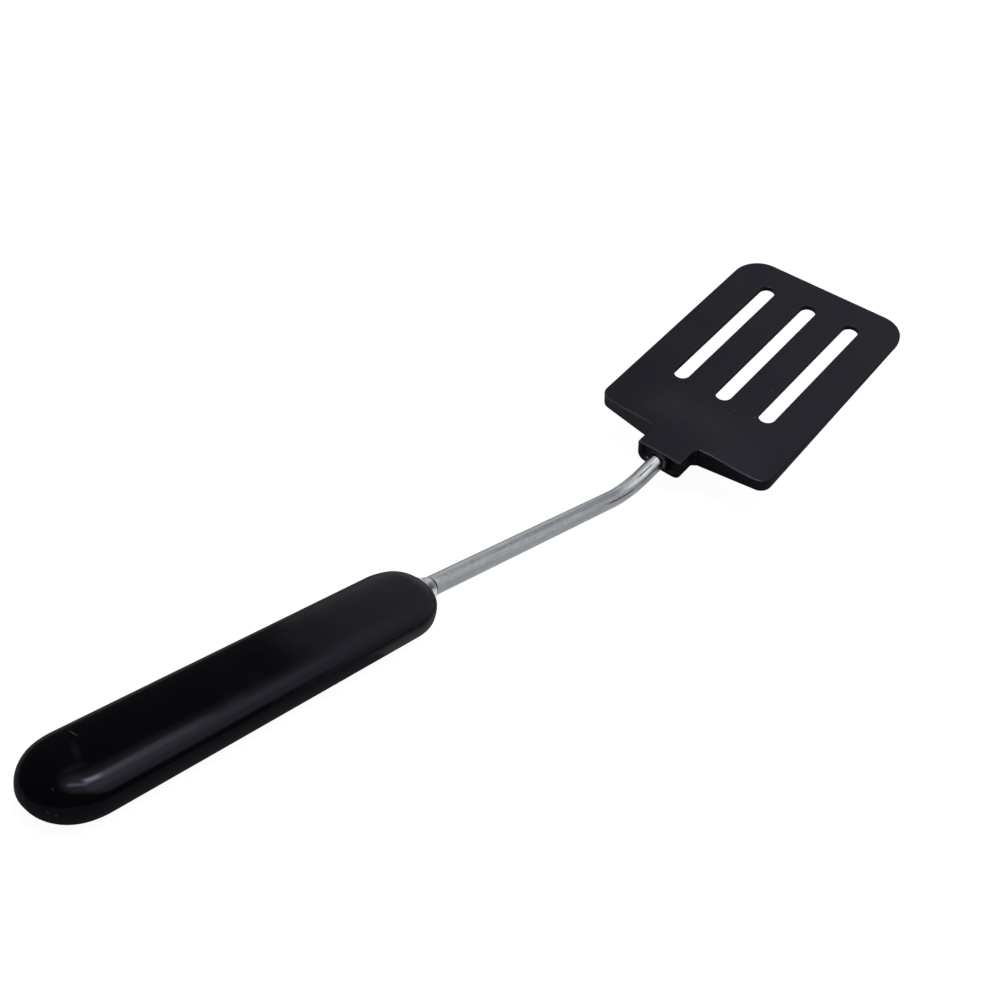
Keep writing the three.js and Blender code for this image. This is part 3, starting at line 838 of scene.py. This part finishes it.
def shaft_grids():
    """A round section carried along the rod's line, pinched flat and wide at the ears, with closed ends and
    with the creases pressed in. The creases are painted dark as shade."""
    length, points, slope = shaft_line()
    angle = full_turn()
    behind = length[-1] - NECK_TANG - length
    pressed = np.zeros((len(length), len(angle)))
    painted_shade = np.zeros_like(pressed)
    for start, end, turn_deg, half_width, depth in ROD_CREASES:
        share = crease(behind, angle, start, end, turn_deg, half_width)
        pressed = pressed + depth * share
        # The crease painted dark as shade
        painted_shade = np.maximum(painted_shade, share)
    ear = ear_share(length, length[-1])[:, None]
    left = (ROD_RADIUS - pressed + EAR_REACH * ear) * np.cos(angle)
    high = mix(ROD_RADIUS - pressed, EAR_THICKNESS / 2, ear) * np.sin(angle)
    up = np.column_stack((-np.sin(slope), np.zeros_like(slope), np.cos(slope)))
    places = points[:, None] + left[..., None] * leftward + high[..., None] * up[:, None]
    local = np.stack((np.broadcast_to(-behind[:, None], left.shape), left, high), axis=-1)
    rows = [dressed(places, local, painted_shade)[0]]
    for end in (0, -1):
        pole = np.concatenate((points[end], (-behind[end], 0, 0, 0)))
        rows.insert(-end * len(rows), np.broadcast_to(pole, (1, len(angle), len(pole))))
    return [(np.concatenate(rows), None)]


# Materials

def linear(code):
    """A hex sRGB colour as linear red, green, blue and alpha, by the curve of the sRGB standard."""
    parts = np.array([int(code[i:i + 2], 16) for i in (1, 3, 5)]) / 255
    flat = np.where(parts <= 0.04045, parts / 12.92, ((parts + 0.055) / 1.055) ** 2.4)
    return (*flat.tolist(), 1.0)


def per_metre(spacing):
    """The scale of a pattern that repeats about every so many millimetres."""
    return 1 / (spacing * MM)


def feed(tree, node, inputs):
    """Gives each input of a node a value, or a link from the output of another node."""
    for socket, value in inputs.items():
        if isinstance(value, bpy.types.NodeSocket):
            tree.links.new(value, node.inputs[socket])
        else:
            node.inputs[socket].default_value = value


def add(tree, kind, inputs, **settings):
    """Adds a node with its settings and inputs."""
    made = tree.nodes.new(kind)
    for name, value in settings.items():
        setattr(made, name, value)
    feed(tree, made, inputs)
    return made


def new_material(name):
    """A material with its node tree, its shader, and the piece's own places and its wear and painted light
    as sockets.
    """
    material = bpy.data.materials.new(name)
    material.use_nodes = True
    tree = material.node_tree
    local = add(tree, "ShaderNodeAttribute", {}, attribute_name="local").outputs["Vector"]
    wear_and_painted_light = add(tree, "ShaderNodeAttribute", {}, attribute_name="wear_and_painted_light").outputs["Fac"]
    return material, tree, tree.nodes["Principled BSDF"], local, wear_and_painted_light


def coated(tree, base, *coats):
    """A base colour with other colours laid over it in turn, each by an amount from 0 to 1."""
    colour = linear(base)
    for code, amount in coats:
        inputs = {"Factor": amount, MIX_UNDER: colour, MIX_OVER: linear(code)}
        colour = add(tree, "ShaderNodeMix", inputs, data_type="RGBA").outputs[MIX_RESULT]
    return colour


def raised(tree, start, *parts):
    """A starting value raised by shares of other values in turn."""
    total = start
    for value, share in parts:
        inputs = {0: value, 1: share, 2: total}
        total = add(tree, "ShaderNodeMath", inputs, operation="MULTIPLY_ADD").outputs["Value"]
    return total


def pattern(tree, places, spacing, low, high, detail, scale):
    """Patches of noise about a spacing apart: 0 below a low level of the noise and 1 above a high one."""
    inputs = {0: places, 1: scale}
    scaled = add(tree, "ShaderNodeVectorMath", inputs, operation="MULTIPLY").outputs["Vector"]
    inputs = {"Vector": scaled, "Scale": per_metre(spacing), "Detail": detail}
    noise = add(tree, "ShaderNodeTexNoise", inputs).outputs["Fac"]
    inputs = {"Value": noise, "From Min": low, "From Max": high}
    return add(tree, "ShaderNodeMapRange", inputs, interpolation_type="SMOOTHSTEP").outputs["Result"]


def marks(tree, places, spots):
    """The strength of small marks, each a turned ellipsoid that fades to 0 at its skin."""
    whole = 0.0
    for middle, half_sizes, turn_deg, strength in spots:
        inputs = {
            "Vector": places,
            "Location": Vector(middle) * MM,
            "Rotation": (0, 0, math.radians(turn_deg)),
            "Scale": Vector(half_sizes) * MM,
        }
        inside = add(tree, "ShaderNodeMapping", inputs, vector_type="TEXTURE").outputs["Vector"]
        reach = add(tree, "ShaderNodeVectorMath", {0: inside}, operation="LENGTH").outputs["Value"]
        inputs = {"Value": reach, "From Min": 1.0, "From Max": MARK_CORE, "To Max": strength}
        spot = add(tree, "ShaderNodeMapRange", inputs, interpolation_type="SMOOTHSTEP").outputs["Result"]
        whole = add(tree, "ShaderNodeMath", {0: whole, 1: spot}, operation="MAXIMUM").outputs["Value"]
    return whole


def moulded_nylon():
    """Black nylon moulded in a finely etched tool: a satin black with an even grain, cloudy patches of
    warmer and colder black, hair-fine scuffs along the blade, a few pale specks, and edges that use has
    rubbed paler, whose paler coat also paints highlight lines along the rear edges and the neck's lip."""
    material, tree, shader, local, wear_and_painted_light = new_material("moulded_black_nylon")
    clouds = pattern(tree, local, *CLOUDS)
    grain = pattern(tree, local, *GRAIN)
    scuffs = pattern(tree, local, *SCUFFS)
    # Edges painted paler: wear, and a painted highlight along the rear edges and the neck's lip
    rubbed_and_highlit = raised(tree, 0.0, (wear_and_painted_light, RUB_PALING_AND_HIGHLIGHT))
    scraped = raised(tree, 0.0, (scuffs, SCUFF_PALING))
    colour = coated(
        tree, "#1c1d25", ("#211d22", clouds), ("#40414a", scraped), ("#9a9ba4", rubbed_and_highlit),
        ("#9a9ba2", marks(tree, local, BLADE_SPECKS)),
    )
    matting = ((scuffs, SCUFF_MATTING), (clouds, CLOUD_MATTING), (wear_and_painted_light, RUB_POLISH))
    inputs = {"Height": grain, "Distance": PATTERN_DEPTH * MM, "Strength": GRAIN_RELIEF}
    feed(tree, shader, {
        "Base Color": colour,
        "Roughness": raised(tree, NYLON_ROUGHNESS, *matting),
        "Normal": add(tree, "ShaderNodeBump", inputs).outputs["Normal"],
        "IOR": NYLON_IOR,
        "Specular Tint": linear("#e3e5ff"),
    })
    return material


def polished_plastic():
    """Black polypropylene moulded in a polished tool: a deep black that mirrors the room, clear at the butt
    and hazier towards the front that use has rubbed, with a faint waviness, hairlines, smudges and a few
    nicks, and near the butt painted glints and streaks of painted reflection."""
    material, tree, shader, local, wear_and_painted_light = new_material("polished_black_polypropylene")
    clouds = pattern(tree, local, *CLOUDS)
    waves = pattern(tree, local, *WAVES)
    smudges = pattern(tree, local, *SMUDGES)
    hairlines = pattern(tree, local, *HAIRLINES)
    # Nicks, and painted glints at the butt
    nicks_and_glints = marks(tree, local, HANDLE_NICKS_AND_GLINTS)
    # Smudges painted paler as streaks of reflection
    smears_and_reflections = marks(tree, local, HANDLE_SMEARS_AND_REFLECTIONS)
    colour = coated(tree, "#0a090d", ("#0f0a10", clouds), ("#221e22", smears_and_reflections), ("#8a8890", nicks_and_glints))
    haze = ((wear_and_painted_light, RUB_HAZE), (smudges, SMUDGE_HAZE), (smears_and_reflections, SMEAR_HAZE), (hairlines, HAIRLINE_HAZE))
    inputs = {"Height": waves, "Distance": PATTERN_DEPTH * MM, "Strength": WAVE_RELIEF}
    relief = add(tree, "ShaderNodeBump", inputs).outputs["Normal"]
    inputs = {
        "Height": hairlines,
        "Distance": PATTERN_DEPTH * MM,
        "Strength": HAIRLINE_RELIEF,
        "Normal": relief,
    }
    feed(tree, shader, {
        "Base Color": colour,
        "Roughness": raised(tree, PLASTIC_ROUGHNESS, *haze),
        "Normal": add(tree, "ShaderNodeBump", inputs).outputs["Normal"],
        "IOR": PLASTIC_IOR,
        "Specular Tint": linear("#e6e4ff"),
    })
    return material


def chrome_plate():
    """Steel wire plated with chrome, dulled by washing: a soft bluish mirror with streaks along the wire,
    mottled patches, small dark pits, and painted shade in its creases and in the ferrule's groove."""
    material, tree, shader, local, wear_and_painted_light = new_material("dulled_chrome_plate")
    streaks = pattern(tree, local, *STREAKS)
    mottle = pattern(tree, local, *MOTTLE)
    pits = pattern(tree, local, *PITS)
    # The last, darkest coat is painted shade in the creases and the groove
    colour = coated(
        tree, "#cccfd1", ("#b5b9bb", streaks), ("#bfc2c4", mottle), ("#6d7077", pits), ("#2e2e33", wear_and_painted_light),
    )
    dulling = ((mottle, MOTTLE_DULLING), (wear_and_painted_light, CREASE_DULLING))
    inputs = {"Height": streaks, "Distance": PATTERN_DEPTH * MM, "Strength": STREAK_RELIEF}
    relief = add(tree, "ShaderNodeBump", inputs).outputs["Normal"]
    inputs = {"Height": mottle, "Distance": PATTERN_DEPTH * MM, "Strength": MOTTLE_RELIEF, "Normal": relief}
    feed(tree, shader, {
        "Base Color": colour,
        "Roughness": raised(tree, PLATE_ROUGHNESS, *dulling),
        "Normal": add(tree, "ShaderNodeBump", inputs).outputs["Normal"],
        "Metallic": 1.0,
    })
    return material


# Camera, light and floor

def make_camera():
    """The camera, placed and turned in the blade's own frame."""
    data = bpy.data.cameras.new("camera")
    data.lens = CAMERA_LENS
    data.sensor_width = SENSOR_WIDTH
    data.clip_start, data.clip_end = CLIP_RANGE
    camera = bpy.data.objects.new("camera", data)
    view = Vector(placed(CAMERA_VIEW, 0, blade_axes)).normalized()
    up = Vector(placed(CAMERA_UP, 0, blade_axes))
    right = view.cross(up).normalized()
    axes = Matrix((right, right.cross(view), -view)).transposed()
    place = Vector(placed(CAMERA_PLACE, blade_zero, blade_axes)) * MM
    camera.matrix_world = Matrix.Translation(place) @ axes.to_4x4()
    bpy.context.scene.collection.objects.link(camera)
    bpy.context.scene.camera = camera


def soft_patch(tree, direction, middle, inner_deg, outer_deg, amount):
    """An amount inside a cone of directions round the middle one, fading to 0 at the cone's outer angle."""
    inputs = {0: direction, 1: Vector(middle).normalized()}
    near = add(tree, "ShaderNodeVectorMath", inputs, operation="DOT_PRODUCT").outputs["Value"]
    inputs = {
        "Value": near,
        "From Min": math.cos(math.radians(outer_deg)),
        "From Max": math.cos(math.radians(inner_deg)),
        "To Max": amount,
    }
    return add(tree, "ShaderNodeMapRange", inputs, interpolation_type="SMOOTHSTEP").outputs["Result"]


def make_world():
    """A dim room, lighter ahead of the blade and on the right, with the ceiling's glow. Seen directly it is
    plain white, so the picture has a plain background."""
    world = bpy.data.worlds.new("studio")
    world.use_nodes = True
    tree = world.node_tree
    direction = add(tree, "ShaderNodeTexCoord", {}).outputs["Generated"]
    light = ROOM_LIGHT
    for *cone, amount in ROOM_PATCHES:
        patch = soft_patch(tree, direction, *cone, amount)
        light = add(tree, "ShaderNodeMath", {0: light, 1: patch}, operation="MAXIMUM").outputs["Value"]
    glow = soft_patch(tree, direction, *CEILING_GLOW)
    light = add(tree, "ShaderNodeMath", {0: light, 1: glow}, operation="ADD").outputs["Value"]
    seen = add(tree, "ShaderNodeLightPath", {}).outputs["Is Camera Ray"]
    strength = add(tree, "ShaderNodeMix", {"Factor": seen, "A": light, "B": ROOM_SEEN}).outputs["Result"]
    feed(tree, tree.nodes["Background"], {"Color": linear(ROOM_TINT), "Strength": strength})
    bpy.context.scene.world = world


def put_lamp(name, data, place, aim, kept_to):
    """Adds a lamp at a place in metres, turned by aim from facing down. The camera doesn't see the lamp
    itself, and its light can be kept to some of the pieces."""
    lamp = bpy.data.objects.new(name, data)
    lamp.location = place
    lamp.rotation_mode = "QUATERNION"
    lamp.rotation_quaternion = aim
    lamp.visible_camera = False
    bpy.context.scene.collection.objects.link(lamp)
    if kept_to:
        lit = bpy.data.collections.new(name)
        for piece_name in kept_to:
            lit.objects.link(bpy.data.objects[piece_name])
        lamp.light_linking.receiver_collection = lit
    return lamp


def make_far_lamp(name, direction, angle_deg, radiance, matt, glossy, kept_to):
    """A distant round light, given by how bright its disc looks: its energy is that times pi times the
    square of the sine of its half angle."""
    data = bpy.data.lights.new(name, "SUN")
    data.angle = math.radians(angle_deg)
    data.energy = radiance * math.pi * math.sin(data.angle / 2) ** 2
    lamp = put_lamp(name, data, (0, 0, 0), Vector(direction).to_track_quat("Z", "Y"), kept_to)
    lamp.visible_diffuse = matt
    lamp.visible_glossy = glossy


def make_flat_lamp(facing, name, place, length, width, turn_deg, radiance, kept_to):
    """A flat rectangular light, given by how bright its face looks: its energy is that times pi times its
    area."""
    data = bpy.data.lights.new(name, "AREA")
    data.shape = "RECTANGLE"
    data.size = length * MM
    data.size_y = width * MM
    data.energy = radiance * math.pi * data.size * data.size_y
    aim = Quaternion((0, 0, 1), math.radians(turn_deg)) @ facing
    put_lamp(name, data, Vector(place) * MM, aim, kept_to)


def make_floor():
    """A wide pale sheet at the height that the object lies on. It is lit by the lamps, and glows to the
    camera alone, as on a light table, so that its glow doesn't wash out the dark pieces."""
    mesh = bpy.data.meshes.new("floor")
    corners = [(-1, -1), (1, -1), (1, 1), (-1, 1)]
    mesh.from_pydata([(x * FLOOR_HALF, y * FLOOR_HALF, 0) for x, y in corners], [], [(0, 1, 2, 3)])
    material = bpy.data.materials.new("pale_lit_sheet")
    material.use_nodes = True
    tree = material.node_tree
    seen = add(tree, "ShaderNodeLightPath", {}).outputs["Is Camera Ray"]
    glow = add(tree, "ShaderNodeMath", {0: seen, 1: FLOOR_GLOW}, operation="MULTIPLY").outputs["Value"]
    feed(tree, tree.nodes["Principled BSDF"], {
        "Base Color": linear("#b8b8b8"),
        "Roughness": FLOOR_ROUGHNESS,
        "Specular IOR Level": 0.0,
        "Emission Color": linear("#ffffff"),
        "Emission Strength": glow,
    })
    mesh.materials.append(material)
    floor = bpy.data.objects.new("floor", mesh)
    bpy.context.scene.collection.objects.link(floor)


make_camera()
make_world()
make_floor()
bpy.context.scene.view_settings.view_transform = "Standard"

plating = chrome_plate()
for name, grids, node, slot, material in (
    ("nylon_blade", blade_grids(), "blade", "blade_nylon", moulded_nylon()),
    ("bent_rod", shaft_grids(), "shaft", "plated_steel", plating),
    ("flared_ferrule", ferrule_grids(), "ferrule", "plated_steel", plating),
    ("moulded_handle", handle_grids(), "handle", "handle_plastic", polished_plastic()),
):
    piece = make_piece(name, grids, material)
    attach(piece, "root")
    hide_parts(node)
for lamp in FAR_LAMPS:
    make_far_lamp(*lamp)
for lamp in CEILING_LAMPS:
    make_flat_lamp(FACING_DOWN, *lamp)
for card in FLOOR_CARDS:
    make_flat_lamp(FACING_UP, *card)
